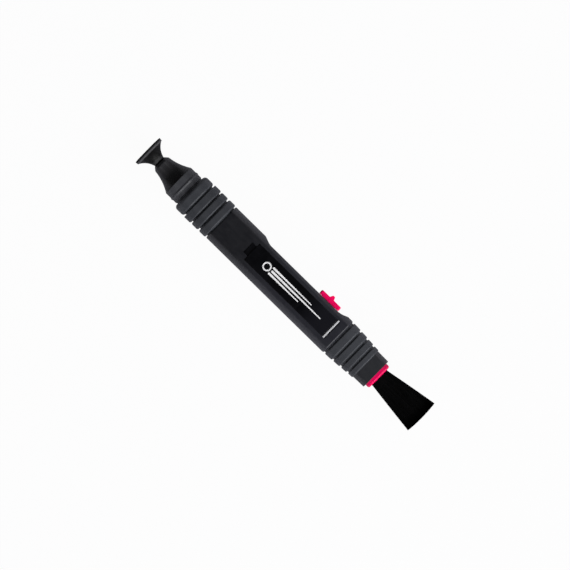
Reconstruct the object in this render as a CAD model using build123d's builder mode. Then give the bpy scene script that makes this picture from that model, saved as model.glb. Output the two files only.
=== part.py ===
from build123d import *
import os

# Lens cleaning pen, lying on its back. Millimetres.
# +X runs from the cleaning tip to the brush, +Y points out of the slide channel and
# +Z out of the flat front. The origin is on the flat back, under the pen's axis.

# ---- Driving dimensions ------------------------------------------------------------
AXIS_Z = 6.6            # height of the pen's axis above its flat back
BODY_R = 7.58           # barrel, before its flats
FRONT_FLAT = 5.3        # barrel's flat front, above the axis
CHANNEL_FLOOR = 6.4     # floor of the slide channel, from the axis
GAP = 0.02              # between pieces pressed or glued together
SLIDE_GAP = 0.1         # between sliding pieces

# Stations along the axis
PAD_X = -68.0           # front of the cleaning pad
CUP_X = -67.15          # rim of the cup
WAIST_X = -62.3         # narrow end of the cup
NECK_X = -61.6          # front of the neck
SEAT_X = -52.6          # front of the cap's seat
STOP_X = -47.0          # cap's stop, the first rib
BARREL_X0 = -31.5
BARREL_X1 = 26.76
COLLAR_X = 40.25        # smooth end of the nose
MOUTH_X = 45.3          # the brush comes out here
BRISTLE_X = 67.75       # end of the brush

# Slide
TRAVEL = 22.5           # brush out to brush in
BORE_Y = 5.36           # half-width of the oval bore
BORE_Z = 3.3            # half-thickness of the oval bore
BORE_X0 = -16.2         # closed end of the bore

BIG = 30.0              # size of a cutting block, larger than any section

os.makedirs("parts", exist_ok=True)

AXIS = Axis((0, 0, AXIS_Z), (1, 0, 0))
# Profiles along the axis: sketch x is along the pen, sketch y is the radius.
PROFILE = Plane(origin=(0, 0, AXIS_Z), x_dir=(1, 0, 0), z_dir=(0, -1, 0))
BELOW = (Align.CENTER, Align.CENTER, Align.MAX)


def section(x):
    """Plane across the pen at x: sketch x is +Y, sketch y is +Z."""
    return Plane(origin=(x, 0, AXIS_Z), x_dir=(0, 1, 0), z_dir=(1, 0, 0))


def level(height):
    """Plane parallel to the flat front, at a height above the axis."""
    return Plane.XY.offset(AXIS_Z + height)


def side_level(distance):
    """Plane parallel to the channel floor, at a distance from the axis on the +Y side."""
    return Plane.XZ.offset(-distance)


def flatted_bar(start, end, corner, round_start, round_end):
    """Round bar with a flat above and a flat below the axis, its edges rounded.

    start, end: (x, radius, front flat, back flat) of the bar's two ends.
    """
    with BuildPart(mode=Mode.PRIVATE) as bar:
        for x, radius, front, back in (start, end):
            with BuildSketch(section(x)) as outline:
                Circle(radius)
                with Locations((0, (front - back) / 2)):
                    Rectangle(2 * radius, front + back, mode=Mode.INTERSECT)
                fillet(outline.vertices(), radius=corner)
        loft(ruled=True)
        if round_start:
            fillet(bar.faces().sort_by(Axis.X)[0].edges(), radius=round_start)
        if round_end:
            fillet(bar.faces().sort_by(Axis.X)[-1].edges(), radius=round_end)
    return bar.part


# ---- Cleaning tip ------------------------------------------------------------------
PAD_R = 6.1
PAD_T = 0.5
PAD_DISH = 0.14         # hollow of the pad's front
PAD_EDGE = 0.25         # rounding of the pad's front edge
BACKING_R = 6.0
CUP_RIM_R = 6.0
CUP_RIM_X1 = -66.73
CUP_FLARE_R = 5.75      # where the cup's flare starts, behind its rim
CUP_FLARE_MID = (-65.1, 3.74)
CUP_WAIST_R = 2.25
CUP_WALL = 0.75
CUP_HOLLOW_END = (-65.0, 2.55)
CUP_HOLLOW_MID = (-65.9, 3.55)
STEM_PIN_R = 1.4        # in the sockets of the cup and the neck
STEM_WAIST_R = 2.2      # between the cup and the neck
STEM_ROOT_X = -62.12    # the waist widens from here to the neck
STEM_ROOT_R = 2.66
STEM_DEPTH = 1.8        # into the cup

with BuildPart() as tip_pad:
    with BuildSketch(PROFILE):
        with BuildLine():
            dish = ThreePointArc(
                (PAD_X + PAD_DISH, 0),
                (PAD_X + PAD_DISH * 0.7, PAD_R / 2),
                (PAD_X, PAD_R - PAD_EDGE),
            )
            edge = ThreePointArc(
                dish @ 1,
                (PAD_X + PAD_EDGE * 0.3, PAD_R - PAD_EDGE * 0.3),
                (PAD_X + PAD_EDGE, PAD_R),
            )
            Polyline(edge @ 1, (PAD_X + PAD_T, PAD_R), (PAD_X + PAD_T, 0), dish @ 0)
        make_face()
    revolve(axis=AXIS)

with BuildPart() as pad_backing:
    with BuildSketch(section(PAD_X + PAD_T)):
        Circle(BACKING_R)
    extrude(amount=CUP_X - PAD_X - PAD_T)

with BuildPart() as tip_cup:
    with BuildSketch(PROFILE):
        with BuildLine():
            rim = Polyline(
                (CUP_X, CUP_RIM_R),
                (CUP_RIM_X1, CUP_RIM_R),
                (CUP_RIM_X1 + GAP, CUP_FLARE_R),
            )
            flare = ThreePointArc(rim @ 1, CUP_FLARE_MID, (WAIST_X, CUP_WAIST_R))
            Polyline(flare @ 1, (WAIST_X, 0), (CUP_X, 0), rim @ 0)
        make_face()
    revolve(axis=AXIS)
    # Hollow behind the pad, so that the cup can flex
    with BuildSketch(PROFILE):
        with BuildLine():
            mouth = Line((CUP_X, 0), (CUP_X, CUP_RIM_R - CUP_WALL))
            hollow = ThreePointArc(mouth @ 1, CUP_HOLLOW_MID, CUP_HOLLOW_END)
            Polyline(hollow @ 1, (CUP_HOLLOW_END[0], 0), mouth @ 0)
        make_face()
    revolve(axis=AXIS, mode=Mode.SUBTRACT)
    # Socket for the stem
    with BuildSketch(section(WAIST_X)):
        Circle(STEM_PIN_R + GAP)
    extrude(amount=-STEM_DEPTH - 5 * GAP, mode=Mode.SUBTRACT)

# ---- Neck, stem and cap seat -------------------------------------------------------
STEM_HEAD_R = 2.3       # barb that holds the stem in the neck
STEM_HEAD_X = -56.6
STEM_END_X = -54.9
NECK_FRONT_R = 2.7
NECK_BEVEL_END = (-61.05, 3.17)
NECK_SHOULDER_MID = (-60.82, 3.35)
NECK_SHOULDER_END = (-60.5, 3.46)
NECK_SLOPE_END = (-59.6, 3.6)
NECK_FLARE_MID = (-56.0, 4.58)
NECK_END_R = 6.28
NECK_BOSS_R = 4.2       # the neck's boss, glued into the tip holder
NECK_BOSS_X = -48.6
SEAT_R = 6.33
BEAD_X = -49.65
BEAD_R = 6.55
SEAT_GROOVE = 0.25      # depth of the narrow groove in front of the stop
SHANK_R = 5.35          # under the rear grip
PLUG_R = 5.0            # pressed into the barrel
PLUG_X1 = -21.5
PLUG_WALL = 1.2
PLUG_CHAMFER = 0.5
SNAP_X = -25.6          # bead that snaps into the barrel's socket
SNAP_H = 0.2

with BuildPart() as tip_stem:
    with BuildSketch(PROFILE):
        with BuildLine():
            Polyline(
                (WAIST_X - STEM_DEPTH, 0),
                (WAIST_X - STEM_DEPTH, STEM_PIN_R),
                (WAIST_X + GAP, STEM_PIN_R),
                (WAIST_X + GAP, STEM_WAIST_R),
                (STEM_ROOT_X, STEM_WAIST_R),
                (NECK_X - GAP, STEM_ROOT_R),
                (NECK_X - GAP, STEM_PIN_R),
                (STEM_HEAD_X, STEM_PIN_R),
                (STEM_HEAD_X, STEM_HEAD_R),
                (STEM_END_X, STEM_PIN_R),
                (STEM_END_X, 0),
                close=True,
            )
        make_face()
    revolve(axis=AXIS)

with BuildPart() as neck:
    with BuildSketch(PROFILE):
        with BuildLine():
            bevel = Line((NECK_X, NECK_FRONT_R), NECK_BEVEL_END)
            shoulder = ThreePointArc(bevel @ 1, NECK_SHOULDER_MID, NECK_SHOULDER_END)
            slope = Line(shoulder @ 1, NECK_SLOPE_END)
            flare = ThreePointArc(slope @ 1, NECK_FLARE_MID, (SEAT_X - GAP, NECK_END_R))
            Polyline(
                flare @ 1,
                (SEAT_X - GAP, NECK_BOSS_R),
                (NECK_BOSS_X, NECK_BOSS_R),
                (NECK_BOSS_X, 0),
                (NECK_X, 0),
                bevel @ 0,
            )
        make_face()
    revolve(axis=AXIS)
    with BuildSketch(section(NECK_X)):
        Circle(STEM_PIN_R + GAP)
    extrude(amount=STEM_HEAD_X - NECK_X, mode=Mode.SUBTRACT)
    with BuildSketch(section(STEM_HEAD_X - GAP)):
        Circle(STEM_HEAD_R + 5 * GAP)
    extrude(amount=BIG, mode=Mode.SUBTRACT)

with BuildPart() as tip_holder:
    # Profile of the outside as (x, radius, rounding of the corner)
    seat = (
        (SEAT_X, NECK_BOSS_R + GAP, 0),
        (SEAT_X, SEAT_R, 0.12),
        (BEAD_X - 0.57, SEAT_R, 0.08),
        (BEAD_X - 0.07, BEAD_R, 0.06),
        (BEAD_X + 0.13, BEAD_R, 0.06),
        (BEAD_X + 0.7, SEAT_R, 0.15),
        (STOP_X - 0.5, SEAT_R, 0.05),
        (STOP_X - 0.35, SEAT_R - SEAT_GROOVE, 0.05),
        (STOP_X - GAP, SEAT_R - SEAT_GROOVE, 0),
        (STOP_X - GAP, SHANK_R, 0),
        (BARREL_X0 - GAP, SHANK_R, 0),
        (BARREL_X0 - GAP, PLUG_R, 0),
        (SNAP_X - 0.9, PLUG_R, 0),
        (SNAP_X - 0.4, PLUG_R + SNAP_H, 0),
        (SNAP_X + 0.2, PLUG_R + SNAP_H, 0),
        (SNAP_X + 1.2, PLUG_R, 0),
        (PLUG_X1 - PLUG_CHAMFER, PLUG_R, 0),
        (PLUG_X1, PLUG_R - PLUG_CHAMFER, 0),
        (PLUG_X1, PLUG_R - PLUG_WALL, 0),
    )
    floor_x = NECK_BOSS_X + 2.0
    with BuildSketch(PROFILE):
        with BuildLine():
            outside = FilletPolyline(
                *[(x, radius) for x, radius, _ in seat],
                radius=[rounding for _, _, rounding in seat[1:-1]],
            )
            Polyline(
                outside @ 1,
                (floor_x, PLUG_R - PLUG_WALL),
                (floor_x, 0),
                (NECK_BOSS_X + GAP, 0),
                (NECK_BOSS_X + GAP, NECK_BOSS_R + GAP),
                outside @ 0,
            )
        make_face()
    revolve(axis=AXIS)

# ---- Ribbed grip at the tip end ----------------------------------------------------
REAR_GROOVE_R = 6.7
# Start, end, radius, rounding at the start and at the end
REAR_RIBS = (
    (STOP_X, -42.54, 7.74, 1.35, 1.0),
    (-42.06, -39.03, 7.84, 0.12, 0.6),
    (-38.61, -35.46, 7.76, 0.6, 0.65),
    (-34.95, -31.84, 7.75, 0.6, 0.6),
)
REAR_GRIP_X1 = BARREL_X0 - GAP

with BuildPart() as rear_grip:
    ribs = [(STOP_X, SHANK_R + GAP, 0)]
    for start, end, radius, round_start, round_end in REAR_RIBS:
        if start > STOP_X:
            ribs.append((start, REAR_GROOVE_R, 0))
        ribs.append((start, radius, round_start))
        ribs.append((end, radius, round_end))
        ribs.append((end, REAR_GROOVE_R, 0))
    ribs.append((REAR_GRIP_X1, REAR_GROOVE_R, 0))
    ribs.append((REAR_GRIP_X1, SHANK_R + GAP, 0))
    with BuildSketch(PROFILE):
        with BuildLine():
            outside = FilletPolyline(
                *[(x, radius) for x, radius, _ in ribs],
                radius=[rounding for _, _, rounding in ribs[1:-1]],
            )
            Line(outside @ 1, outside @ 0)
        make_face()
    revolve(axis=AXIS)
    # Flat back, in line with the barrel's
    with Locations((STOP_X, 0, 0)):
        Box(2 * BIG, BIG, BIG, align=BELOW, mode=Mode.SUBTRACT)

# ---- Barrel ------------------------------------------------------------------------
BARREL_CORNER = 0.4     # long edges of the flats
BARREL_ROUND_X0 = 0.5
BARREL_ROUND_X1 = 0.75
CHANNEL_X0 = -13.5      # channel floor, between its ramps
CHANNEL_X1 = 21.5
RAMP_SLOPE_X0 = 0.369
RAMP_SLOPE_X1 = 0.45
RAMP_ROUND_X0 = 5.0
RAMP_ROUND_X1 = 8.0
RAMP_H = 1.8            # the ramps run out of the barrel at this height
SPIGOT_R = 6.35
SPIGOT_HALF_Z = 4.35
SPIGOT_X0 = 24.75
SLOT_X0 = -10.6         # slot for the button's stem
SLOT_X1 = 19.1
SLOT_HALF = 1.6
SLOT_DEPTH_Y = 3.0      # the slot stops at this distance from the axis
NOTCH_X = 14.6          # detent notch for brush out
NOTCH_HALF_X = 2.6
NOTCH_HALF_Y = 1.8
NOTCH_DEPTH = 0.45

# Front plate, its locating tab and the white bar. They sit slightly towards the slider.
PLATE_X0 = -16.35
PLATE_X1 = 22.2
PLATE_Y = 0.2
PLATE_HALF = 3.98
PLATE_CORNER = 0.9
POCKET_DEPTH = 0.6
POCKET_X1 = 23.5
TAB_X0 = -18.35
TAB_Y = 0.37
TAB_HALF = 2.2
TAB_GAP = 0.18
BAR_X0 = 22.42
BAR_X1 = 23.06
BAR_Y = 0.25
BAR_HALF = 4.08

barrel_bar = flatted_bar(
    (BARREL_X0, BODY_R, FRONT_FLAT, AXIS_Z),
    (BARREL_X1, BODY_R, FRONT_FLAT, AXIS_Z),
    BARREL_CORNER,
    BARREL_ROUND_X0,
    BARREL_ROUND_X1,
)

with BuildPart() as barrel:
    add(barrel_bar)
    # Slide channel: a flat floor between two eased ramps
    rear_x = CHANNEL_X0 - RAMP_H / RAMP_SLOPE_X0
    front_x = CHANNEL_X1 + RAMP_H / RAMP_SLOPE_X1
    with BuildSketch(Plane.XY):
        with BuildLine():
            channel = FilletPolyline(
                (rear_x, BIG),
                (rear_x, CHANNEL_FLOOR + RAMP_H),
                (CHANNEL_X0, CHANNEL_FLOOR),
                (CHANNEL_X1, CHANNEL_FLOOR),
                (front_x, CHANNEL_FLOOR + RAMP_H),
                (front_x, BIG),
                radius=(0, RAMP_ROUND_X0, RAMP_ROUND_X1, 0),
            )
            Line(channel @ 1, channel @ 0)
        make_face()
    extrude(amount=BIG, both=True, mode=Mode.SUBTRACT)
    # Oval bore for the slide, open at the brush end
    with BuildSketch(section(BORE_X0)):
        SlotOverall(2 * BORE_Y, 2 * BORE_Z)
    extrude(amount=2 * BIG, mode=Mode.SUBTRACT)
    # Seat for the nose tube's spigot
    with BuildSketch(section(SPIGOT_X0 - GAP)):
        Circle(SPIGOT_R)
        Rectangle(BIG, 2 * SPIGOT_HALF_Z, mode=Mode.INTERSECT)
    extrude(amount=BIG, mode=Mode.SUBTRACT)
    # Round socket for the tip holder's plug, with a groove for its snap bead
    with BuildSketch(PROFILE):
        with BuildLine():
            Polyline(
                (BARREL_X0 - 1, 0),
                (BARREL_X0 - 1, PLUG_R + GAP),
                (SNAP_X - 1.0, PLUG_R + GAP),
                (SNAP_X - 0.45, PLUG_R + SNAP_H + 0.05),
                (SNAP_X + 0.25, PLUG_R + SNAP_H + 0.05),
                (SNAP_X + 1.3, PLUG_R + GAP),
                (PLUG_X1 + PLUG_CHAMFER, PLUG_R + GAP),
                (PLUG_X1 + PLUG_CHAMFER, 0),
                close=True,
            )
        make_face()
    revolve(axis=AXIS, mode=Mode.SUBTRACT)
    # Slot through the channel floor for the button's stem
    with BuildSketch(side_level(BIG)):
        with Locations(((SLOT_X0 + SLOT_X1) / 2, AXIS_Z)):
            SlotOverall(SLOT_X1 - SLOT_X0, 2 * SLOT_HALF)
    extrude(amount=BIG - SLOT_DEPTH_Y, mode=Mode.SUBTRACT)
    # Pocket for the front plate, its locating tab and the white bar
    with BuildSketch(level(FRONT_FLAT)):
        with Locations(((PLATE_X0 - GAP + POCKET_X1) / 2, PLATE_Y)):
            Rectangle(POCKET_X1 - PLATE_X0 + GAP, 2 * (PLATE_HALF + GAP))
        with Locations(((PLATE_X1 + POCKET_X1) / 2, BAR_Y)):
            Rectangle(POCKET_X1 - PLATE_X1, 2 * (BAR_HALF + GAP))
        with Locations((TAB_X0 - TAB_GAP, TAB_Y)):
            Rectangle(
                PLATE_X0 - TAB_X0 + 2 * TAB_GAP,
                2 * (TAB_HALF + TAB_GAP),
                align=(Align.MIN, Align.CENTER),
            )
    extrude(amount=-POCKET_DEPTH, mode=Mode.SUBTRACT)
    # Detent notches in the floor of the bore, for brush out and brush in
    with BuildSketch(level(-BORE_Z + 1)):
        with Locations((NOTCH_X, 0), (NOTCH_X - TRAVEL, 0)):
            Rectangle(2 * NOTCH_HALF_X, 2 * NOTCH_HALF_Y)
    extrude(amount=-1 - NOTCH_DEPTH, mode=Mode.SUBTRACT)

# ---- Front plate and white bar -----------------------------------------------------
PLATE_PROUD = 0.14
BAR_PROUD = 0.2
PLATE_EDGE = 0.12
TAB_T = 0.4
pocket_floor = level(FRONT_FLAT - POCKET_DEPTH + GAP)

with BuildPart() as label_plate:
    with BuildSketch(pocket_floor):
        with Locations(((PLATE_X0 + PLATE_X1) / 2, PLATE_Y)):
            outline = Rectangle(PLATE_X1 - PLATE_X0, 2 * PLATE_HALF)
        fillet(outline.vertices().group_by(Axis.X)[0], radius=PLATE_CORNER)
    extrude(amount=POCKET_DEPTH + PLATE_PROUD - GAP)
    fillet(label_plate.faces().sort_by(Axis.Z)[-1].edges(), radius=PLATE_EDGE)
    # Locating tab, lower than the plate
    with BuildSketch(pocket_floor):
        with Locations((TAB_X0, TAB_Y)):
            Rectangle(
                PLATE_X0 - TAB_X0 + PLATE_CORNER,
                2 * TAB_HALF,
                align=(Align.MIN, Align.CENTER),
            )
    extrude(amount=TAB_T)

with BuildPart() as label_bar:
    with BuildSketch(pocket_floor):
        with Locations(((BAR_X0 + BAR_X1) / 2, BAR_Y)):
            Rectangle(BAR_X1 - BAR_X0, 2 * BAR_HALF)
    extrude(amount=POCKET_DEPTH + BAR_PROUD - GAP)
    fillet(label_bar.faces().sort_by(Axis.Z)[-1].edges(), radius=PLATE_EDGE)

# ---- Nose tube and its ribbed grip -------------------------------------------------
NOSE_CORE_R = 6.0       # nose tube under the grip
NOSE_CORE_FLAT = 3.95
COLLAR_R0 = 6.33
COLLAR_R1 = 6.22
COLLAR_FLAT = 4.27
COLLAR_CORNER = 0.3
COLLAR_ROUND = 0.12
MOUTH_CHAMFER = 0.15
# Start, end, radius at each end, rounding at each end
NOSE_RIBS = (
    (27.26, 30.64, 7.51, 7.39, 0.5, 0.55),
    (31.2, 34.16, 7.28, 7.16, 0.45, 0.5),
    (34.8, 37.36, 7.0, 6.89, 0.4, 0.5),
    (38.02, 40.2, 6.75, 6.7, 0.35, 0.5),
)
NOSE_X0 = NOSE_RIBS[0][0]
NOSE_X1 = NOSE_RIBS[-1][1]
RIB_CORNER = 0.6        # long edges of the ribs' flat tops
FACET_X0 = 5.2          # flat tops above the axis, at the barrel and at the collar
FACET_X1 = 4.8
GROOVE_DROP = 0.5       # groove floors below the flat tops
NOSE_GROOVE_R0 = 7.0
NOSE_GROOVE_R1 = 6.13


def facet(x):
    """Height of the ribs' flat tops above the axis, which taper to the mouth."""
    return FACET_X0 + (FACET_X1 - FACET_X0) * (x - NOSE_X0) / (NOSE_X1 - NOSE_X0)


collar_bar = flatted_bar(
    (COLLAR_X, COLLAR_R0, COLLAR_FLAT, COLLAR_FLAT),
    (MOUTH_X, COLLAR_R1, COLLAR_FLAT, COLLAR_FLAT),
    COLLAR_CORNER,
    0,
    COLLAR_ROUND,
)
rib_bars = [
    flatted_bar(
        (start, r_start, facet(start), facet(start)),
        (end, r_end, facet(end), facet(end)),
        RIB_CORNER,
        round_start,
        round_end,
    )
    for start, end, r_start, r_end, round_start, round_end in NOSE_RIBS
]
groove_bar = flatted_bar(
    (BARREL_X1 + GAP, NOSE_GROOVE_R0, FACET_X0 - GROOVE_DROP, FACET_X0 - GROOVE_DROP),
    (NOSE_X1 - RIB_CORNER, NOSE_GROOVE_R1, FACET_X1 - GROOVE_DROP, FACET_X1 - GROOVE_DROP),
    RIB_CORNER,
    0,
    0,
)

with BuildPart() as nose_tube:
    add(collar_bar)
    with BuildSketch(section(BARREL_X1 + GAP)):
        Circle(NOSE_CORE_R)
        Rectangle(BIG, 2 * NOSE_CORE_FLAT, mode=Mode.INTERSECT)
    extrude(amount=COLLAR_X - BARREL_X1)
    # Spigot that enters the barrel
    with BuildSketch(section(SPIGOT_X0)):
        Circle(SPIGOT_R - GAP)
        Rectangle(BIG, 2 * (SPIGOT_HALF_Z - GAP), mode=Mode.INTERSECT)
    extrude(amount=BARREL_X1 + GAP - SPIGOT_X0)
    with BuildSketch(section(SPIGOT_X0 - 1)):
        SlotOverall(2 * BORE_Y, 2 * BORE_Z)
    extrude(amount=BIG, mode=Mode.SUBTRACT)
    mouth = nose_tube.faces().sort_by(Axis.X)[-1].inner_wires()[0]
    chamfer(mouth.edges(), length=MOUTH_CHAMFER)

with BuildPart() as nose_grip:
    add(rib_bars)
    add(groove_bar)
    with BuildSketch(section(BARREL_X1)):
        Circle(NOSE_CORE_R + GAP)
        Rectangle(BIG, 2 * (NOSE_CORE_FLAT + GAP), mode=Mode.INTERSECT)
    extrude(amount=BIG, mode=Mode.SUBTRACT)

# ---- Slide: button, carriage, spring -----------------------------------------------
BUTTON_X0 = 10.83
BUTTON_X1 = 20.18
BUTTON_HALF = 3.1
BUTTON_CORNER = 0.7
BUTTON_LOW = CHANNEL_FLOOR + 0.06
BUTTON_TOP = 8.14
BUTTON_SHOULDER = 0.5
FIN_TOP = 9.33
FIN_X0 = 14.5           # foot and top of the fin on each side
FIN_TOP_X0 = 15.15
FIN_TOP_X1 = 15.95
FIN_X1 = 16.5
STEM_X0 = 12.4          # stem that passes through the barrel's slot
STEM_X1 = 18.6
STEM_HALF = 1.45
STEM_TIP_Y = 3.6
CARRIAGE_X0 = 8.0
LAND_X1 = 21.5
FRONT_LAND_X0 = 33.0
CARRIAGE_X1 = 40.9
WEB_Y = 8.4             # cross-shaped web: width and thickness of its two walls
WEB_Y_T = 1.6
WEB_Z = 5.2
WEB_Z_T = 1.8
SPRING_POCKET_Z = 2.0   # ceiling of the spring's pocket, below the axis
SPRING_POCKET_X = 11.0
SPRING_HALF = 1.5
SPRING_HALF_X = 5.2
SPRING_T = 0.25
SPRING_PRESS = 0.2      # the spring's crown stands in the notch by this much
TAIL_HALF_Y = 4.0       # ferrule's tail in the carriage
TAIL_HALF_Z = 2.2
TAIL_LENGTH = 3.9
stem_x = (STEM_X0 + STEM_X1) / 2

with BuildPart() as slider_button:
    with BuildSketch(level(-BUTTON_HALF)):
        with BuildLine():
            side = FilletPolyline(
                (BUTTON_X0 + SLIDE_GAP, BUTTON_LOW),
                (BUTTON_X0, BUTTON_TOP - BUTTON_SHOULDER),
                (BUTTON_X0 + BUTTON_SHOULDER / 2, BUTTON_TOP),
                (FIN_X0, BUTTON_TOP + GAP),
                (FIN_TOP_X0, FIN_TOP),
                (FIN_TOP_X1, FIN_TOP),
                (FIN_X1, BUTTON_TOP + GAP),
                (BUTTON_X1 - BUTTON_SHOULDER / 2, BUTTON_TOP),
                (BUTTON_X1, BUTTON_TOP - BUTTON_SHOULDER),
                (BUTTON_X1 - SLIDE_GAP, BUTTON_LOW),
                radius=(0.3, 0.2, 0.3, 0.25, 0.25, 0.3, 0.2, 0.3),
            )
            Line(side @ 1, side @ 0)
        make_face()
    extrude(amount=2 * BUTTON_HALF)
    # Round the button's corners, seen from its top
    with BuildSketch(side_level(BIG)):
        with Locations(((BUTTON_X0 + BUTTON_X1) / 2, AXIS_Z)):
            RectangleRounded(BUTTON_X1 - BUTTON_X0, 2 * BUTTON_HALF, radius=BUTTON_CORNER)
    extrude(amount=BIG, mode=Mode.INTERSECT)
    with BuildSketch(side_level(BUTTON_TOP - BUTTON_SHOULDER)):
        with Locations((stem_x, AXIS_Z)):
            SlotOverall(STEM_X1 - STEM_X0, 2 * STEM_HALF)
    extrude(amount=BUTTON_TOP - BUTTON_SHOULDER - STEM_TIP_Y)

with BuildPart() as slide_carriage:
    for start, end in ((CARRIAGE_X0, LAND_X1), (FRONT_LAND_X0, CARRIAGE_X1)):
        with BuildSketch(section(start)):
            SlotOverall(2 * (BORE_Y - SLIDE_GAP), 2 * (BORE_Z - SLIDE_GAP))
        extrude(amount=end - start)
    # Cross-shaped web between the two guided ends
    with BuildSketch(section(LAND_X1)):
        Rectangle(WEB_Y, WEB_Y_T)
        Rectangle(WEB_Z_T, WEB_Z)
    extrude(amount=FRONT_LAND_X0 - LAND_X1)
    # Socket for the button's stem
    with BuildSketch(side_level(BORE_Y + 1)):
        with Locations((stem_x, AXIS_Z)):
            SlotOverall(STEM_X1 - STEM_X0 + 2 * GAP, 2 * (STEM_HALF + GAP))
    extrude(amount=BORE_Y + 1 - STEM_TIP_Y + SLIDE_GAP, mode=Mode.SUBTRACT)
    # Pocket for the detent spring, underneath
    with BuildSketch(level(-BORE_Z)):
        with Locations((NOTCH_X, 0)):
            Rectangle(SPRING_POCKET_X, 2 * (SPRING_HALF + 2 * SLIDE_GAP))
    extrude(amount=BORE_Z - SPRING_POCKET_Z, mode=Mode.SUBTRACT)
    # Socket for the ferrule's tail
    with BuildSketch(section(CARRIAGE_X1)):
        SlotOverall(2 * (TAIL_HALF_Y + GAP), 2 * (TAIL_HALF_Z + GAP))
    extrude(amount=-TAIL_LENGTH - SLIDE_GAP, mode=Mode.SUBTRACT)

with BuildPart() as detent_spring:
    spring_top = -SPRING_POCKET_Z - GAP
    crown = -BORE_Z - SPRING_PRESS
    with BuildSketch(PROFILE):
        with BuildLine():
            low = ThreePointArc(
                (NOTCH_X - SPRING_HALF_X, spring_top - SPRING_T),
                (NOTCH_X, crown),
                (NOTCH_X + SPRING_HALF_X, spring_top - SPRING_T),
            )
            high = ThreePointArc(
                (NOTCH_X + SPRING_HALF_X, spring_top),
                (NOTCH_X, crown + SPRING_T),
                (NOTCH_X - SPRING_HALF_X, spring_top),
            )
            Line(low @ 1, high @ 0)
            Line(high @ 1, low @ 0)
        make_face()
    extrude(amount=SPRING_HALF, both=True)

# ---- Brush -------------------------------------------------------------------------
FERRULE_X0 = CARRIAGE_X1 + GAP
FERRULE_X1 = 47.0
FERRULE_Y = 5.26
FERRULE_Z = 3.2
FERRULE_ROUND = 0.7
WELL_X0 = 42.2          # bottom of the well that the hair is set in
TUFT_Y = 3.7
TUFT_Z = 1.85
RESIN_T = 1.2
HAIR_X0 = WELL_X0 + RESIN_T + 2 * GAP
FAN_TOP_Y = 7.26        # edges of the brush at its end, which leans to +Y
FAN_LOW_Y = -6.35
FAN_Z = 2.7

with BuildPart() as ferrule:
    with BuildSketch(section(FERRULE_X0)):
        SlotOverall(2 * FERRULE_Y, 2 * FERRULE_Z)
    extrude(amount=FERRULE_X1 - FERRULE_X0)
    fillet(ferrule.faces().sort_by(Axis.X)[-1].edges(), radius=FERRULE_ROUND)
    with BuildSketch(section(CARRIAGE_X1 - TAIL_LENGTH)):
        SlotOverall(2 * TAIL_HALF_Y, 2 * TAIL_HALF_Z)
    extrude(amount=TAIL_LENGTH + 2 * GAP)
    with BuildSketch(section(WELL_X0)):
        SlotOverall(2 * (TUFT_Y + GAP), 2 * (TUFT_Z + GAP))
    extrude(amount=BIG, mode=Mode.SUBTRACT)

with BuildPart() as tuft_resin:
    with BuildSketch(section(WELL_X0 + GAP)):
        SlotOverall(2 * TUFT_Y, 2 * TUFT_Z)
    extrude(amount=RESIN_T)

with BuildPart() as bristles:
    with BuildSketch(section(HAIR_X0)):
        SlotOverall(2 * TUFT_Y, 2 * TUFT_Z)
    extrude(amount=FERRULE_X1 - HAIR_X0)
    with BuildSketch(section(FERRULE_X1)):
        SlotOverall(2 * TUFT_Y, 2 * TUFT_Z)
    with BuildSketch(section(BRISTLE_X)):
        with Locations(((FAN_TOP_Y + FAN_LOW_Y) / 2, 0)):
            SlotOverall(FAN_TOP_Y - FAN_LOW_Y, 2 * FAN_Z)
    loft()

# ---- Labels and files --------------------------------------------------------------
pieces = {
    "tip_pad": tip_pad,
    "pad_backing": pad_backing,
    "tip_cup": tip_cup,
    "tip_stem": tip_stem,
    "neck": neck,
    "tip_holder": tip_holder,
    "rear_grip": rear_grip,
    "barrel": barrel,
    "label_plate": label_plate,
    "label_bar": label_bar,
    "nose_tube": nose_tube,
    "nose_grip": nose_grip,
    "slider_button": slider_button,
    "slide_carriage": slide_carriage,
    "detent_spring": detent_spring,
    "ferrule": ferrule,
    "tuft_resin": tuft_resin,
    "bristles": bristles,
}
for name, piece in pieces.items():
    piece.part.label = name
    export_step(piece.part, f"parts/{name}.step")
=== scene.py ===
import math

import bpy
import numpy as np
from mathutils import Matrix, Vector


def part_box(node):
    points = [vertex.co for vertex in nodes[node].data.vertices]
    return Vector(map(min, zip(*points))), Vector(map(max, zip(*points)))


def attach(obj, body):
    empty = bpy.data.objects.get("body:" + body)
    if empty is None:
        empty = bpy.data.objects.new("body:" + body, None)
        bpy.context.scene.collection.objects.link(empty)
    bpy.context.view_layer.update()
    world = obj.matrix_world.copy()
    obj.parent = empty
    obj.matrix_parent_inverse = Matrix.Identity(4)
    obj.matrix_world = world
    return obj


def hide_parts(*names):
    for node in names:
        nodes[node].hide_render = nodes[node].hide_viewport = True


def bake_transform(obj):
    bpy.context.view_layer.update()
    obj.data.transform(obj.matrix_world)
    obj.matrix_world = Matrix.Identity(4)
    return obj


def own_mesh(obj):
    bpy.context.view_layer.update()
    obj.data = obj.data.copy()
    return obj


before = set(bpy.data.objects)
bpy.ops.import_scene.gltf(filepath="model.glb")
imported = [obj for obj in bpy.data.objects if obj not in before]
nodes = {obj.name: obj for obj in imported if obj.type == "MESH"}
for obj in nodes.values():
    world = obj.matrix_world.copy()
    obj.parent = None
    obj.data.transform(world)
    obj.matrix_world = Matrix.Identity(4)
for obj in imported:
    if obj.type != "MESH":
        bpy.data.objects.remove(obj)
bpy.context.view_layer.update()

MM = 0.001

# The pen's axis runs along X at this height above its flat back, which is the origin.
seat_low, seat_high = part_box("tip_holder")
AXIS_Z = (seat_low.z + seat_high.z) / 2


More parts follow.
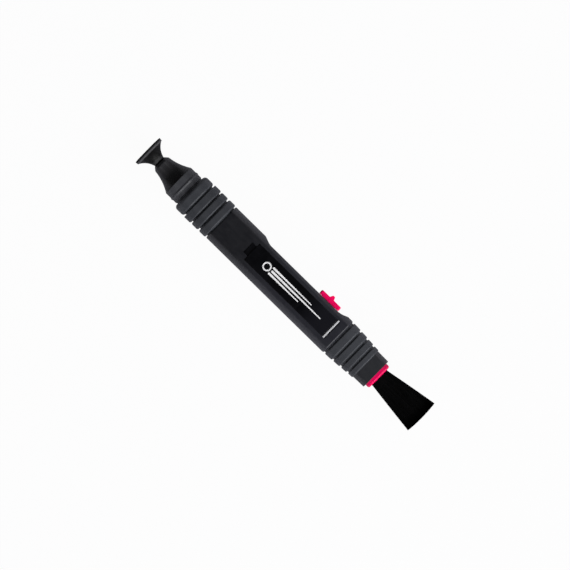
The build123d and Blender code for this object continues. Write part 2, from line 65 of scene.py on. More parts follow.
# ---- Camera, floor and light ---------------------------------------------------------
VIEW_WIDTH = 201.78 * MM        # what the view takes in at the height of the pen's axis
VIEW_SHIFT = 0.177 * MM         # its centre stands this far right of and below the origin
PEN_TURN = math.radians(44.45)  # the brush points this far below the view's right
LENS = 400
SENSOR = 36
FAR_CLIP = 20

FLOOR_HALF = 1.5
FLOOR_DROP = 0.02 * MM          # the floor is just clear of the pen's back
FLOOR_COLOUR = (0.485, 0.485, 0.53)
FLOOR_GLOW = 0.965              # share of plain white in what is seen of the floor

# Softboxes, all turned to the pen: place and two sides in m, power in W
KEY = "key_softbox"
SOFTBOXES = (
    (KEY, (1.08, 0.0, 0.55), 2.6, 0.6, 18.5),
    ("sheen_softbox", (0.92, 0.0, 0.77), 2.6, 0.4, 15.0),
    ("left_softbox", (0.0, 0.75, 0.95), 1.4, 0.4, 1.0),
    ("right_softbox", (0.0, -0.75, 0.95), 1.4, 0.4, 1.0),
)

# Radiance of the surroundings from the horizon, 0, to overhead, 1, and its share
# beyond each end of the pen
WORLD_TONES = ((0.0, 0.14), (0.4, 0.16), (0.85, 0.1), (0.999, 0.05))
WORLD_BLUE = 1.04
WORLD_TIP_SIDE = 0.15
WORLD_BRUSH_SIDE = 1.85
BACKDROP = (0.97, 0.97, 0.97)


def make_camera():
    """A camera straight above the pen, turned so that the pen lies across the view."""
    right = Vector((math.cos(PEN_TURN), math.sin(PEN_TURN), 0))
    up = Vector((-math.sin(PEN_TURN), math.cos(PEN_TURN), 0))
    centre = Vector((0, 0, AXIS_Z)) + right * VIEW_SHIFT - up * VIEW_SHIFT
    data = bpy.data.cameras.new("camera")
    data.lens = LENS
    data.sensor_width = SENSOR
    data.clip_end = FAR_CLIP
    camera = bpy.data.objects.new("camera", data)
    camera.location = centre + Vector((0, 0, VIEW_WIDTH * LENS / SENSOR))
    camera.rotation_euler = (0, 0, PEN_TURN)
    bpy.context.scene.collection.objects.link(camera)
    bpy.context.scene.camera = camera


def make_floor():
    """A plain pale floor under the pen's back, which still takes a faint shadow."""
    half = FLOOR_HALF
    mesh = bpy.data.meshes.new("floor")
    mesh.from_pydata(
        [
            (x, y, -FLOOR_DROP)
            for x, y in ((-half, -half), (half, -half), (half, half), (-half, half))
        ],
        [],
        [(0, 1, 2, 3)],
    )
    floor = bpy.data.objects.new("floor", mesh)
    bpy.context.scene.collection.objects.link(floor)
    material = bpy.data.materials.new("floor_white")
    material.use_nodes = True
    tree = material.node_tree
    shader = tree.nodes["Principled BSDF"]
    shader.inputs["Base Color"].default_value = (*FLOOR_COLOUR, 1)
    shader.inputs["Roughness"].default_value = 1.0
    shader.inputs["Specular IOR Level"].default_value = 0.0
    glow = tree.nodes.new("ShaderNodeEmission")
    path = tree.nodes.new("ShaderNodeLightPath")
    share = tree.nodes.new("ShaderNodeMath")
    share.operation = "MULTIPLY"
    share.inputs[1].default_value = FLOOR_GLOW
    mix = tree.nodes.new("ShaderNodeMixShader")
    tree.links.new(path.outputs["Is Camera Ray"], share.inputs[0])
    tree.links.new(share.outputs["Value"], mix.inputs[0])
    tree.links.new(shader.outputs["BSDF"], mix.inputs[1])
    tree.links.new(glow.outputs["Emission"], mix.inputs[2])
    tree.links.new(mix.outputs["Shader"], tree.nodes["Material Output"].inputs["Surface"])
    mesh.materials.append(material)


def make_softbox(name, place, size_x, size_y, power):
    """A rectangular light at a place, turned to the pen."""
    data = bpy.data.lights.new(name, "AREA")
    data.shape = "RECTANGLE"
    data.size = size_x
    data.size_y = size_y
    data.energy = power
    light = bpy.data.objects.new(name, data)
    light.location = place
    light.rotation_euler = (-Vector(place)).to_track_quat("-Z", "Y").to_euler()
    bpy.context.scene.collection.objects.link(light)
    return light


def make_light():
    """Two wide softboxes beyond the brush, and a weak one on each side of the pen."""
    for name, place, size_x, size_y, power in SOFTBOXES:
        light = make_softbox(name, place, size_x, size_y, power)
        # The key has no mirror image, which would glare on the plate from low down
        light.visible_glossy = name != KEY


def make_world():
    """Soft surroundings: bright low down, dark overhead, dimmer beyond the cleaning tip."""
    world = bpy.data.worlds.new("studio")
    bpy.context.scene.world = world
    world.use_nodes = True
    tree = world.node_tree
    tree.nodes.clear()
    coords = tree.nodes.new("ShaderNodeTexCoord")
    split = tree.nodes.new("ShaderNodeSeparateXYZ")
    tree.links.new(coords.outputs["Generated"], split.inputs["Vector"])
    ramp = tree.nodes.new("ShaderNodeValToRGB")
    stops = ramp.color_ramp.elements
    for position, tone in WORLD_TONES:
        stop = stops[0] if position == 0.0 else stops.new(position)
        stop.color = (tone, tone, tone * WORLD_BLUE, 1)
    stops.remove(stops[-1])
    tree.links.new(split.outputs["Z"], ramp.inputs["Fac"])
    along = tree.nodes.new("ShaderNodeMapRange")
    along.inputs["From Min"].default_value = -1.0
    along.inputs["To Min"].default_value = WORLD_TIP_SIDE
    along.inputs["To Max"].default_value = WORLD_BRUSH_SIDE
    tree.links.new(split.outputs["X"], along.inputs["Value"])
    lit = tree.nodes.new("ShaderNodeBackground")
    tree.links.new(ramp.outputs["Color"], lit.inputs["Color"])
    tree.links.new(along.outputs["Result"], lit.inputs["Strength"])
    seen = tree.nodes.new("ShaderNodeBackground")
    seen.inputs["Color"].default_value = (*BACKDROP, 1)
    path = tree.nodes.new("ShaderNodeLightPath")
    mix = tree.nodes.new("ShaderNodeMixShader")
    tree.links.new(path.outputs["Is Camera Ray"], mix.inputs["Fac"])
    tree.links.new(lit.outputs["Background"], mix.inputs[1])
    tree.links.new(seen.outputs["Background"], mix.inputs[2])
    output = tree.nodes.new("ShaderNodeOutputWorld")
    tree.links.new(mix.outputs["Shader"], output.inputs["Surface"])
    bpy.context.scene.view_settings.view_transform = "Standard"


# ---- Materials -----------------------------------------------------------------------
# Painted light along the pen, where a colour lightens towards the brush as the light falls:
# from and to in mm, and the share that it reaches
BARREL_PAINTED_LIGHT = (-20, -4, 2.3)
# Painted reflection on the plate: it lightens towards the white bar
PLATE_PAINTED_REFLECTION = (9, 17, 4.5)


class Finish:
    """One procedural material: a Principled shader, and helpers that add nodes to it."""

    def __init__(self, name):
        self.material = bpy.data.materials.new(name)
        self.material.use_nodes = True
        self.tree = self.material.node_tree
        self.shader = self.tree.nodes["Principled BSDF"]
        coords = self.tree.nodes.new("ShaderNodeTexCoord")
        in_mm = self.tree.nodes.new("ShaderNodeVectorMath")
        in_mm.operation = "SCALE"
        in_mm.inputs["Scale"].default_value = 1 / MM
        self.tree.links.new(coords.outputs["Object"], in_mm.inputs[0])
        self.place = in_mm.outputs["Vector"]

    def set(self, **values):
        """Constants on the shader, named with _ for a space."""
        for socket, value in values.items():
            self.shader.inputs[socket.replace("_", " ")].default_value = value

    def link(self, source, socket):
        self.tree.links.new(source, self.shader.inputs[socket])

    def stretch(self, x, y, z):
        """The place, scaled by different amounts along the axes."""
        node = self.tree.nodes.new("ShaderNodeVectorMath")
        node.operation = "MULTIPLY"
        node.inputs[1].default_value = (x, y, z)
        self.tree.links.new(self.place, node.inputs[0])
        return node.outputs["Vector"]

    def noise(self, per_mm, detail=2.0, roughness=0.5, distortion=0.0, place=None):
        node = self.tree.nodes.new("ShaderNodeTexNoise")
        node.inputs["Scale"].default_value = per_mm
        node.inputs["Detail"].default_value = detail
        node.inputs["Roughness"].default_value = roughness
        node.inputs["Distortion"].default_value = distortion
        self.tree.links.new(place or self.place, node.inputs["Vector"])
        return node.outputs["Fac"]

    def ranged(self, value, from_range, to_range=(0, 1)):
        """The value with one range carried over to another, and held at its ends."""
        node = self.tree.nodes.new("ShaderNodeMapRange")
        node.inputs["From Min"].default_value = from_range[0]
        node.inputs["From Max"].default_value = from_range[1]
        node.inputs["To Min"].default_value = to_range[0]
        node.inputs["To Max"].default_value = to_range[1]
        self.tree.links.new(value, node.inputs["Value"])
        return node.outputs["Result"]

    def added(self, a, b):
        node = self.tree.nodes.new("ShaderNodeMath")
        node.operation = "ADD"
        self.tree.links.new(a, node.inputs[0])
        self.tree.links.new(b, node.inputs[1])
        return node.outputs["Value"]

    def along(self, start, end):
        """Rises from 0 to 1 between two places along the pen, in mm."""
        split = self.tree.nodes.new("ShaderNodeSeparateXYZ")
        self.tree.links.new(self.place, split.inputs["Vector"])
        return self.ranged(split.outputs["X"], (start, end))

    def mixed(self, amount, a, b):
        """Colour a where amount is 0 and b where it is 1; each is a colour or a socket."""
        node = self.tree.nodes.new("ShaderNodeMix")
        node.data_type = "RGBA"
        self.tree.links.new(amount, node.inputs["Factor"])
        for socket, value in ((node.inputs[6], a), (node.inputs[7], b)):
            if isinstance(value, tuple):
                socket.default_value = (*value, 1)
            else:
                self.tree.links.new(value, socket)
        return node.outputs[2]

    def bump(self, *heights):
        """Bumps from (height socket, strength, depth in mm), one on top of another."""
        normal = None
        for height, strength, depth in heights:
            node = self.tree.nodes.new("ShaderNodeBump")
            node.inputs["Strength"].default_value = strength
            node.inputs["Distance"].default_value = depth * MM
            self.tree.links.new(height, node.inputs["Height"])
            if normal is not None:
                self.tree.links.new(normal, node.inputs["Normal"])
            normal = node.outputs["Normal"]
        self.link(normal, "Normal")


def shade(colour, factor):
    return tuple(c * factor for c in colour)


def moulded(name, colour, rough, specular=0.5, grain=0.25, grain_per_mm=7.0, painted_shading=()):
    """Injection-moulded plastic or rubber: fine spark-eroded grain, handling marks.

    painted_shading: (start, end, share), each of which paints light or shade into the
    colour:
    it changes to a share of the full colour between two places along the pen, in mm.
    """
    f = Finish(name)
    cloud = f.noise(0.11, detail=3)
    speck = f.noise(2.2, detail=4, roughness=0.62)
    marks = f.noise(
        0.55, detail=5, roughness=0.6, distortion=0.8, place=f.stretch(0.45, 1.4, 1.4)
    )
    base = f.mixed(f.ranged(cloud, (0.3, 0.7)), shade(colour, 0.86), shade(colour, 1.14))
    base = f.mixed(f.ranged(speck, (0.62, 0.8), (0, 0.35)), base, shade(colour, 1.9))
    # Painted light and shade along the pen
    for start, end, share in painted_shading:
        base = f.mixed(f.along(start, end), base, shade(colour, share))
    f.link(base, "Base Color")
    f.link(f.ranged(marks, (0.3, 0.72), (rough - 0.07, rough + 0.07)), "Roughness")
    f.bump(
        (f.noise(grain_per_mm, roughness=0.6), grain, 0.02),
        (f.noise(0.35), 0.12, 0.08),
    )
    f.set(Specular_IOR_Level=specular)
    return f.material


def gloss_plate():
    """Glossy black plate: hairline scratches along it, faint finger marks, and a painted
    reflection that lightens it towards the white bar.
    """
    f = Finish("plate_gloss")
    black = (0.0016, 0.0016, 0.0022)
    smear = f.noise(0.22, detail=4, roughness=0.6, distortion=1.2)
    scratch = f.noise(
        1.0, detail=3, roughness=0.7, distortion=0.2, place=f.stretch(0.12, 9.0, 9.0)
    )
    colour = f.mixed(f.ranged(smear, (0.4, 0.7)), black, shade(black, 1.7))
    start, end, share = PLATE_PAINTED_REFLECTION
    # Painted reflection: the black turns lighter towards the white bar
    f.link(f.mixed(f.along(start, end), colour, shade(black, share)), "Base Color")
    rough = f.added(
        f.ranged(smear, (0.35, 0.7), (0.14, 0.24)),
        f.ranged(scratch, (0.62, 0.74), (0.0, 0.14)),
    )
    f.link(rough, "Roughness")
    f.bump((scratch, 0.08, 0.01), (f.noise(0.18, detail=1), 0.06, 0.15))
    f.set(Specular_IOR_Level=0.33)
    return f.material


def white_plastic(name, colour):
    """White plastic or ink, slightly uneven."""
    f = Finish(name)
    ink = f.noise(3.2, detail=4, roughness=0.65)
    f.link(
        f.mixed(f.ranged(ink, (0.25, 0.75)), shade(colour, 0.93), shade(colour, 1.04)),
        "Base Color",
    )
    f.link(f.ranged(ink, (0.3, 0.7), (0.34, 0.5)), "Roughness")
    f.bump((ink, 0.15, 0.01))
    return f.material


def pink_plastic(name, pink):
    """Magenta moulded plastic, a little translucent, with flow streaks and a soft gloss."""
    f = Finish(name)
    flow = f.noise(
        0.8, detail=3, roughness=0.55, distortion=0.9, place=f.stretch(0.5, 1.0, 1.6)
    )
    f.link(
        f.mixed(f.ranged(flow, (0.3, 0.7)), shade(pink, 0.86), shade(pink, 1.1)),
        "Base Color",
    )
    f.link(f.ranged(f.noise(1.6, detail=4), (0.3, 0.7), (0.27, 0.4)), "Roughness")
    f.bump((f.noise(9.0), 0.12, 0.012), (flow, 0.08, 0.05))
    f.set(
        Specular_IOR_Level=0.22,
        Subsurface_Weight=0.12,
        Subsurface_Radius=(1.0, 0.2, 0.3),
        Subsurface_Scale=0.7 * MM,
    )
    return f.material


def suede():
    """Carbon-black suede: a clumped nap with lighter tips and powdery patches."""
    f = Finish("pad_suede")
    nap = f.noise(7.5, detail=4, roughness=0.7, distortion=0.6)
    clump = f.noise(1.1, detail=3, roughness=0.6)
    dark = (0.0012, 0.0012, 0.0014)
    colour = f.mixed(f.ranged(nap, (0.35, 0.75)), dark, shade(dark, 3.2))
    powder = f.ranged(clump, (0.5, 0.8), (0, 0.5))
    f.link(f.mixed(powder, colour, shade(dark, 5)), "Base Color")
    f.link(f.ranged(clump, (0.3, 0.7), (0.82, 0.97)), "Roughness")
    f.bump((nap, 0.7, 0.06), (clump, 0.4, 0.08))
    f.set(Specular_IOR_Level=0.03, Sheen_Weight=0.02, Sheen_Roughness=0.5)
    return f.material


def hair():
    """Soft black hair: each lock a slightly different brown-black, with a dull gloss."""
    f = Finish("hair")
    lock = f.noise(1.6, detail=3, roughness=0.6, place=f.stretch(0.05, 1.0, 1.0))
    black = (0.0012, 0.0012, 0.0013)
    f.link(
        f.mixed(f.ranged(lock, (0.3, 0.72)), shade(black, 0.7), shade(black, 2.6)),
        "Base Color",
    )
    f.link(f.ranged(lock, (0.3, 0.7), (0.42, 0.62)), "Roughness")
    f.set(Specular_IOR_Level=0.06)
    return f.material


def spring_steel():
    """Rolled strip: grain lines along it."""
    f = Finish("spring_steel")
    lines = f.noise(2.0, detail=4, roughness=0.7, place=f.stretch(0.2, 8.0, 8.0))
    f.link(
        f.mixed(f.ranged(lines, (0.3, 0.7)), (0.45, 0.45, 0.46), (0.62, 0.62, 0.63)),
        "Base Color",
    )
    f.link(f.ranged(lines, (0.3, 0.7), (0.22, 0.38)), "Roughness")
    f.bump((lines, 0.2, 0.01))
    f.set(Metallic=1.0)
    return f.material


def resin():
    """Amber resin with cloudy inclusions."""
    f = Finish("resin")
    cloud = f.noise(0.9, detail=4, roughness=0.6, distortion=0.5)
    f.link(
        f.mixed(f.ranged(cloud, (0.3, 0.7)), (0.2, 0.11, 0.03), (0.34, 0.21, 0.08)),
        "Base Color",
    )
    f.link(f.ranged(cloud, (0.3, 0.7), (0.1, 0.3)), "Roughness")
    f.bump((cloud, 0.2, 0.05))
    return f.material


def make_materials():
    """All the finishes by name."""
    rim_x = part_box("pad_backing")[1].x / MM
    waist_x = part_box("tip_cup")[1].x / MM
    neck_x = (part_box("neck")[0].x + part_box("tip_holder")[0].x) / 2 / MM
    looks = {
        # Painted light: the barrel's colour lightens towards the brush
        "barrel_plastic": dict(
            colour=(0.0053, 0.0055, 0.008), rough=0.38, specular=0.65,
            painted_shading=(BARREL_PAINTED_LIGHT,),
        ),
        "seat_plastic": dict(colour=(0.042, 0.043, 0.049), rough=0.38, specular=0.3),
        "collar_plastic": dict(colour=(0.015, 0.016, 0.019), rough=0.42),
        "grip_rubber": dict(
            colour=(0.039, 0.0415, 0.048), rough=0.42, specular=0.26,
            grain=0.35, grain_per_mm=9.0,
        ),
        # Painted shade: the neck's colour darkens from its front to the seat
        "neck_plastic": dict(
            colour=(0.045, 0.044, 0.049), rough=0.3, specular=0.35, grain=0.08,
            painted_shading=((neck_x - 4.0, neck_x + 1.5, 0.2),),
        ),
        "backing_rubber": dict(
            colour=(0.01, 0.01, 0.011), rough=0.5, specular=0.2, grain=0.15
        ),
        # Painted shade and light: the cup is pale at its rim, painted shade turns it nearly
        # black behind it, and painted light makes it grey at the waist
        "cup_rubber": dict(
            colour=(0.07, 0.07, 0.074), rough=0.42, specular=0.14, grain=0.15,
            painted_shading=(
                (rim_x + 0.4, rim_x + 0.75, 0.03),
                (waist_x - 1.2, waist_x - 0.15, 0.62),
            ),
        ),
        # Painted shade: the stem's colour turns nearly black just past the cup's waist
        "stem_rubber": dict(
            colour=(0.035, 0.035, 0.037), rough=0.5, specular=0.1, grain=0.15,
            painted_shading=((waist_x + 0.1, waist_x + 0.25, 0.03),),
        ),
    }
    finishes = {name: moulded(name, **look) for name, look in looks.items()}
    finishes["plate_gloss"] = gloss_plate()
    finishes["white_bar"] = white_plastic("white_bar", (0.5, 0.5, 0.52))
    finishes["white_print"] = white_plastic("white_print", (0.85, 0.85, 0.86))
    finishes["pink_plastic"] = pink_plastic("pink_plastic", (0.97, 0.002, 0.118))
    finishes["pink_ferrule"] = pink_plastic("pink_ferrule", (0.68, 0.001, 0.087))
    finishes["pad_suede"] = suede()
    finishes["hair"] = hair()
    finishes["spring_steel"] = spring_steel()
    finishes["resin"] = resin()
    return finishes


NODE_FINISH = {
    "pad_backing": "backing_rubber",
    "tip_cup": "cup_rubber",
    "tip_stem": "stem_rubber",
    "neck": "neck_plastic",
    "tip_holder": "seat_plastic",
    "rear_grip": "grip_rubber",
    "barrel": "barrel_plastic",
    "label_plate": "plate_gloss",
    "label_bar": "white_bar",
    "nose_tube": "collar_plastic",
    "nose_grip": "grip_rubber",
    "slider_button": "pink_plastic",
    "slide_carriage": "pink_plastic",
    "detent_spring": "spring_steel",
    "ferrule": "pink_ferrule",
    "tuft_resin": "resin",
    "tip_pad": "pad_suede",
    "bristles": "hair",
}


def finish_nodes(finishes):
    """Gives each node of the frame its finish."""
    for node, finish in NODE_FINISH.items():
        obj = nodes[node]
        obj.data.materials.clear()
        obj.data.materials.append(finishes[finish])


# ---- Meshes of new pieces ------------------------------------------------------------
TOUCH = 0.01 * MM       # a new surface stands this far from the one it ends at
CLEAR = 0.02 * MM


def new_piece(name, points, faces, material, smooth=True):
    mesh = bpy.data.meshes.new(name)
    mesh.from_pydata([tuple(p) for p in points], [], faces)
    mesh.validate()
    mesh.materials.append(material)
    if smooth:
        mesh.shade_smooth()
    obj = bpy.data.objects.new(name, mesh)
    bpy.context.scene.collection.objects.link(obj)
    return obj


def half_sizes(node):
    """Half the width along Y and half the thickness along Z of a node."""
    low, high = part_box(node)
    return (high.y - low.y) / 2, (high.z - low.z) / 2


def around_axis(x, radius, angle):
    """A point beside the pen's axis; the angle runs from +Z to +Y."""
    return (x, radius * math.sin(angle), AXIS_Z + radius * math.cos(angle))


def tube_faces(first, rings, sides):
    """Faces of one tube whose rings of points follow each other, closed at its end."""
    faces = []
    for ring in range(rings - 1):
        for side in range(sides):
            a = first + ring * sides + side
            b = first + ring * sides + (side + 1) % sides
            faces.append((a, a + sides, b + sides, b))
    last = first + (rings - 1) * sides
    faces.append(tuple(last + side for side in range(sides)))
    return faces


# ---- Brush ---------------------------------------------------------------------------
HAIRS = 6500
INNER_HAIRS = HAIRS * 3 // 4    # the rest stand on the outside, which is what shows
EDGE_DEPTH = 0.93               # share of the tuft's size where those start
HAIR_RINGS = 7
HAIR_SIDES = 3
HAIR_R = 0.05 * MM
HAIR_TAPER = 0.5                # a hair's end is thinner by this share
HAIR_TAPER_FROM = 0.6           # of the length
HAIR_ROOT = 0.1 * MM            # gap between the resin and the hair
HAIR_STRAY = 0.018              # spread of the hairs' ends, as a share of the fan
HAIR_WAVE = 0.04                # sideways bow of a hair, in mm
END_BOW = 0.35 * MM             # the cut end stands out this far in its middle
END_SCATTER = 0.1               # unevenness of the cut end, in mm
CORE_RINGS = 10
CORE_SIDES = 40
CORE_SHARE = 0.9                # of the tuft's half-sizes
CORE_SHORT = 1.2 * MM           # the core ends this far inside the hair


def stadium_points(rng, count, half_y, half_z):
    """Points spread evenly over a flat-sided oval, as shares of its half-sizes."""
    points = []
    straight = half_y - half_z
    while len(points) < count:
        y, z = rng.uniform(-half_y, half_y), rng.uniform(-half_z, half_z)
        over = max(0.0, abs(y) - straight)
        if over * over + z * z <= half_z * half_z:
            points.append((y / half_y, z / half_z))
    return np.array(points)


def stadium_edge(rng, count, half_y, half_z):
    """Points spread over the outside of a flat-sided oval, as shares of its half-sizes."""
    angles = rng.uniform(0, 2 * math.pi, count)
    squash = half_z / half_y
    edge = np.stack([np.cos(angles), np.sin(angles)], 1)
    edge[:, 0] = np.sign(edge[:, 0]) * (1 - squash + squash * np.abs(edge[:, 0]))
    flat = rng.random(count) < 1 - squash
    edge[flat, 0] = rng.uniform(squash - 1, 1 - squash, flat.sum())
    edge[flat, 1] = np.sign(edge[flat, 1])
    return edge


def fan(x):
    """Middle and half-sizes of the brush at x, and how far out x is.

    Returns (middle y, half y, half z, out), where out runs from 0 at the ferrule to 1
    at the brush's end.
    """
    low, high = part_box("bristles")
    ferrule_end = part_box("ferrule")[1].x
    out = np.clip((x - ferrule_end) / (high.x - ferrule_end), 0, 1)
    root_y, root_z = half_sizes("tuft_resin")
    end_y, end_z = half_sizes("bristles")
    return (
        (high.y + low.y) / 2 * out,
        root_y + (end_y - root_y) * out,
        root_z + (end_z - root_z) * out,
        out,
    )


def make_hairs(finishes):
    """Thousands of fine tapered hairs that fan out of the ferrule to a trimmed end."""
    rng = np.random.default_rng(11)
    root_y, root_z = half_sizes("tuft_resin")
    inside = stadium_points(rng, INNER_HAIRS, root_y, root_z)
    edge = stadium_edge(rng, HAIRS - INNER_HAIRS, root_y, root_z)
    shares = np.vstack([inside, edge * rng.uniform(EDGE_DEPTH, 1.0, (len(edge), 1))])
    root_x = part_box("tuft_resin")[1].x + HAIR_ROOT
    scatter = np.abs(rng.normal(0, END_SCATTER, HAIRS)) * MM
    trim = END_BOW * shares[:, 0] ** 2 + scatter
    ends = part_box("bristles")[1].x - CLEAR - trim
    lag = rng.normal(0, HAIR_STRAY, (HAIRS, 2))
    turn = rng.uniform(0, 2 * math.pi, HAIRS)
    wave = rng.normal(0, HAIR_WAVE, (HAIRS, 2)) * MM
    points = np.zeros((HAIRS, HAIR_RINGS, HAIR_SIDES, 3))
    for ring in range(HAIR_RINGS):
        t = ring / (HAIR_RINGS - 1)
        x = root_x + (ends - root_x) * t
        mid_y, half_y, half_z, out = fan(x)
        share_y = np.clip(shares[:, 0] + lag[:, 0] * out, -1, 1)
        share_z = np.clip(shares[:, 1] + lag[:, 1] * out, -1, 1)
        bow = np.sin(math.pi * out)
        y = mid_y + share_y * (half_y - HAIR_R) + wave[:, 0] * bow
        z = AXIS_Z + share_z * (half_z - HAIR_R) + wave[:, 1] * bow
        taper = max(0.0, t - HAIR_TAPER_FROM) / (1 - HAIR_TAPER_FROM)
        radius = HAIR_R * (1 - HAIR_TAPER * taper)
        for side in range(HAIR_SIDES):
            angle = turn + side * 2 * math.pi / HAIR_SIDES
            points[:, ring, side, 0] = x
            points[:, ring, side, 1] = y + np.cos(angle) * radius
            points[:, ring, side, 2] = z + np.sin(angle) * radius
    faces = []
    for number in range(HAIRS):
        faces += tube_faces(number * HAIR_RINGS * HAIR_SIDES, HAIR_RINGS, HAIR_SIDES)
    return new_piece("bristle_hairs", points.reshape(-1, 3), faces, finishes["hair"])


def make_hair_core(finishes):
    """The dense middle of the tuft, which stops light from passing between the hairs."""
    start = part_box("tuft_resin")[1].x + HAIR_ROOT
    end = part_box("bristles")[1].x - CORE_SHORT
    points = []
    for ring in range(CORE_RINGS):
        x = start + (end - start) * ring / (CORE_RINGS - 1)
        mid_y, half_y, half_z, _ = fan(x)
        straight = half_y - half_z
        for side in range(CORE_SIDES):
            angle = 2 * math.pi * side / CORE_SIDES
            y = math.copysign(straight, math.cos(angle)) + half_z * math.cos(angle)
            z = half_z * math.sin(angle)
            points.append((x, mid_y + CORE_SHARE * y, AXIS_Z + CORE_SHARE * z))
    faces = tube_faces(0, CORE_RINGS, CORE_SIDES)
    faces.append(tuple(reversed(range(CORE_SIDES))))
    return new_piece("bristle_core", points, faces, finishes["hair"])


def finish_brush(*pieces):
    """The brush moves with its slide."""
    for piece in pieces:
        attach(piece, "brush")
        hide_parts("bristles")
        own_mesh(piece)


# ---- Cleaning pad --------------------------------------------------------------------
PAD_RINGS = 46
PAD_SIDES = 150
PAD_INSET = 0.06 * MM           # room for the nap in front of the suede
PAD_DISH = 0.12 * MM            # hollow of the pad's face
PAD_ROLL = 0.16 * MM            # the rim of the face rolls back by this much
PAD_ROLL_FROM = 0.955           # of the radius
PAD_EDGE_X = 0.24 * MM          # from the face to the pad's straight edge
PAD_LIP = 0.01 * MM             # the straight edge stands out this far
PAD_BEVEL_X = 0.03 * MM         # bevel behind the straight edge, along the pen
PAD_BEVEL_R = 0.04 * MM         # and inwards, from the face's radius
PAD_ROUGH = 0.012               # unevenness of the face, in mm
PAD_RIPPLE = 0.02 * MM          # height of the soft waves in the face
RIPPLE_TURNS = 5                # waves around the pad
RIPPLE_TWIST = 9                # how far they wind from the middle to the rim
NAP_FIBRES = 5200
NAP_LENGTH = 0.1 * MM
NAP_R = 0.018 * MM
NAP_SINK = 0.03 * MM            # the fibres' roots stand this far inside the face
NAP_REACH = 0.97                # share of the radius that carries nap
NAP_SHORTEST = 0.5              # of the nap's length
NAP_LEAN = 0.6                  # of a patch, for an upright part of 1
NAP_STRAY = 0.35                # of one fibre from its patch
NAP_PATCH_Y = 1.3               # how fast the lean changes across the pad, per mm
NAP_PATCH_Z = 1.1


def pad_profile(front, back, radius):
    """The pad's outline from its middle to its back, as (x, radius)."""
    rows = []
    for ring in range(PAD_RINGS):
        t = (ring + 1) / PAD_RINGS
        dish = PAD_DISH * (1 - t * t)
        roll = PAD_ROLL * max(0.0, (t - PAD_ROLL_FROM) / (1 - PAD_ROLL_FROM)) ** 2
        rows.append((front + dish + roll, radius * t))
    return rows + [
        (front + PAD_EDGE_X, radius + PAD_LIP),
        (back - PAD_BEVEL_X, radius + PAD_LIP),
        (back, radius - PAD_BEVEL_R),
    ]


def add_nap(rng, points, faces, front, radius):
    """Fibres that lean in patches, as brushed suede does."""
    for _ in range(NAP_FIBRES):
        angle = rng.uniform(0, 2 * math.pi)
        r = radius * NAP_REACH * math.sqrt(rng.random())
        y, z = r * math.sin(angle), r * math.cos(angle)
        lean = NAP_LEAN * math.sin(y / MM * NAP_PATCH_Y + 1) + rng.normal(0, NAP_STRAY)
        across = NAP_LEAN * math.cos(z / MM * NAP_PATCH_Z) + rng.normal(0, NAP_STRAY)
        root_x = front + PAD_DISH * (1 - (r / radius) ** 2) + NAP_SINK
        root = Vector((root_x, y, AXIS_Z + z))
        lift = Vector((-1, lean, across)).normalized() * NAP_LENGTH
        lift *= rng.uniform(NAP_SHORTEST, 1.0)
        side = lift.orthogonal().normalized() * NAP_R
        first = len(points)
        points += [root - side, root + side, root + lift]
        faces.append((first, first + 1, first + 2))


def make_suede_pad(finishes):
    """A thin suede disc, slightly dished, with a rolled edge and a short clumped nap."""
    rng = np.random.default_rng(5)
    low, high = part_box("tip_pad")
    radius = half_sizes("tip_pad")[1] - CLEAR
    front = low.x + PAD_INSET
    rows = pad_profile(front, high.x - TOUCH, radius)
    points = [(front + PAD_DISH, 0.0, AXIS_Z)]
    for number, (x, r) in enumerate(rows):
        on_face = number < PAD_RINGS
        for side in range(PAD_SIDES):
            angle = 2 * math.pi * side / PAD_SIDES
            uneven_x = x
            if on_face:
                wave = math.sin(RIPPLE_TURNS * angle + RIPPLE_TWIST * r / radius)
                uneven_x += rng.normal(0, PAD_ROUGH) * MM
                uneven_x += PAD_RIPPLE * wave * (r / radius)
            points.append(around_axis(uneven_x, r, angle))
    faces = [(0, 1 + side, 1 + (side + 1) % PAD_SIDES) for side in range(PAD_SIDES)]
    faces += tube_faces(1, len(rows), PAD_SIDES)
    add_nap(rng, points, faces, front, radius)
    piece = new_piece("suede_pad", points, faces, finishes["pad_suede"])
    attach(piece, "tip")
    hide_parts("tip_pad")


# ---- Rubber waist --------------------------------------------------------------------
STEM_RINGS = 24
STEM_SIDES = 64
STEM_REACH = 0.5 * MM           # into the cup and into the neck
STEM_PIN_R = 1.38 * MM          # there
WAIST_R = 2.2 * MM
WAIST_FLARE = 0.46 * MM         # the waist is this much wider at the neck
WAIST_FLARE_FROM = 0.28         # of its length


def make_stem(finishes):
    """The rubber waist, which widens from the cup to the neck."""
    cup_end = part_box("tip_cup")[1].x
    neck_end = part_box("neck")[0].x
    rows = [(cup_end - STEM_REACH, STEM_PIN_R), (cup_end + TOUCH, STEM_PIN_R)]
    for ring in range(STEM_RINGS):
        t = ring / (STEM_RINGS - 1)
        x = cup_end + CLEAR + (neck_end - cup_end - 2 * CLEAR) * t
        flare = max(0.0, (t - WAIST_FLARE_FROM) / (1 - WAIST_FLARE_FROM))
        rows.append((x, WAIST_R + WAIST_FLARE * flare))
    rows += [(neck_end - TOUCH, STEM_PIN_R), (neck_end + STEM_REACH, STEM_PIN_R)]
    points = [
        around_axis(x, r, 2 * math.pi * side / STEM_SIDES)
        for x, r in rows
        for side in range(STEM_SIDES)
    ]
    faces = tube_faces(0, len(rows), STEM_SIDES)
    faces.append(tuple(reversed(range(STEM_SIDES))))
    piece = new_piece("rubber_waist", points, faces, finishes["stem_rubber"])
    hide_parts("tip_stem")
    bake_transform(piece)


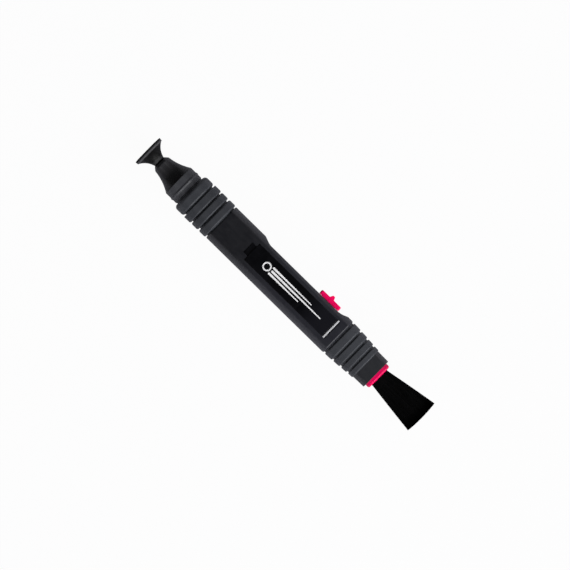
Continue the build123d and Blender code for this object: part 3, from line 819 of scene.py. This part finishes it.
# ---- Print on the plate --------------------------------------------------------------
PRINT_T = 0.03 * MM
PRINT_SHOWS = 0.9               # share of its thickness that stands above the plate
RING_PLACE = 0.235              # of the plate's length
RING_R = 1.65 * MM
RING_W = 0.5 * MM
RING_STEPS = 72
SWEEP_START = 2.6 * MM          # from the ring's middle to the lines
SWEEP_ROUND = 0.35              # the outer lines start this much of their offset earlier
SWEEP_END = 5.0 * MM            # from the longest line's end to the white bar
SWEEP_TAPER = 0.45              # width of a line's end, as a share of its start
SWEEP_START_POINTS = 12         # on the round start and on the round end of a line
SWEEP_END_POINTS = 8
# Sweep lines: offset across the pen, length as a share of the room, half-width in mm
SWEEPS = ((1.25, 0.78, 0.38), (0.0, 1.0, 0.42), (-1.25, 0.6, 0.38))


def arc(x, y, radius, start, end, count):
    """Points on an arc, with its angles in half turns."""
    return [
        (x + radius * math.cos(angle), y + radius * math.sin(angle))
        for angle in np.linspace(start * math.pi, end * math.pi, count)
    ]


def circle(x, y, radius):
    steps = [2 * math.pi * k / RING_STEPS for k in range(RING_STEPS)]
    return [(x + radius * math.cos(a), y + radius * math.sin(a)) for a in steps]


def slab(points, faces, outline, top, inner=None):
    """Adds a thin plate with this outline, or a band between it and an inner outline."""
    first = len(points)
    count = len(outline)
    levels = [outline] if inner is None else [outline, inner]
    for loop in levels:
        points += [(x, y, top) for x, y in loop]
        points += [(x, y, top - PRINT_T) for x, y in loop]
    for k in range(count):
        n = (k + 1) % count
        faces.append((first + k, first + count + k, first + count + n, first + n))
        if inner is not None:
            inside = first + 2 * count
            faces.append((first + k, first + n, inside + n, inside + k))
            faces.append((inside + k, inside + n, inside + count + n, inside + count + k))
    if inner is None:
        faces.append(tuple(range(first, first + count)))


def make_print(finishes):
    """A plain mark in white ink: a ring for a lens, and three lines swept away from it."""
    low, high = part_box("label_plate")
    top = high.z + PRINT_T * PRINT_SHOWS
    mid_y = (low.y + high.y) / 2
    ring_x = low.x + RING_PLACE * (high.x - low.x)
    sweep_x = ring_x + SWEEP_START
    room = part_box("label_bar")[0].x - SWEEP_END - sweep_x
    points, faces = [], []
    outer = circle(ring_x, mid_y, RING_R)
    slab(points, faces, outer, top, circle(ring_x, mid_y, RING_R - RING_W))
    for offset, share, half_width in SWEEPS:
        y = mid_y + offset * MM
        half = half_width * MM
        start = sweep_x - abs(offset) * SWEEP_ROUND * MM
        end = start + room * share
        outline = arc(start, y, half, 1.5, 0.5, SWEEP_START_POINTS)
        outline += arc(end, y, half * SWEEP_TAPER, 0.5, -0.5, SWEEP_END_POINTS)
        slab(points, faces, outline[::-1], top)
    piece = new_piece("plate_print", points, faces, finishes["white_print"], smooth=False)
    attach(piece, "barrel")


make_camera()
make_floor()
make_light()
make_world()
finishes = make_materials()
finish_nodes(finishes)
finish_brush(make_hairs(finishes), make_hair_core(finishes))
make_suede_pad(finishes)
make_stem(finishes)
make_print(finishes)

bpy.context.view_layer.update()
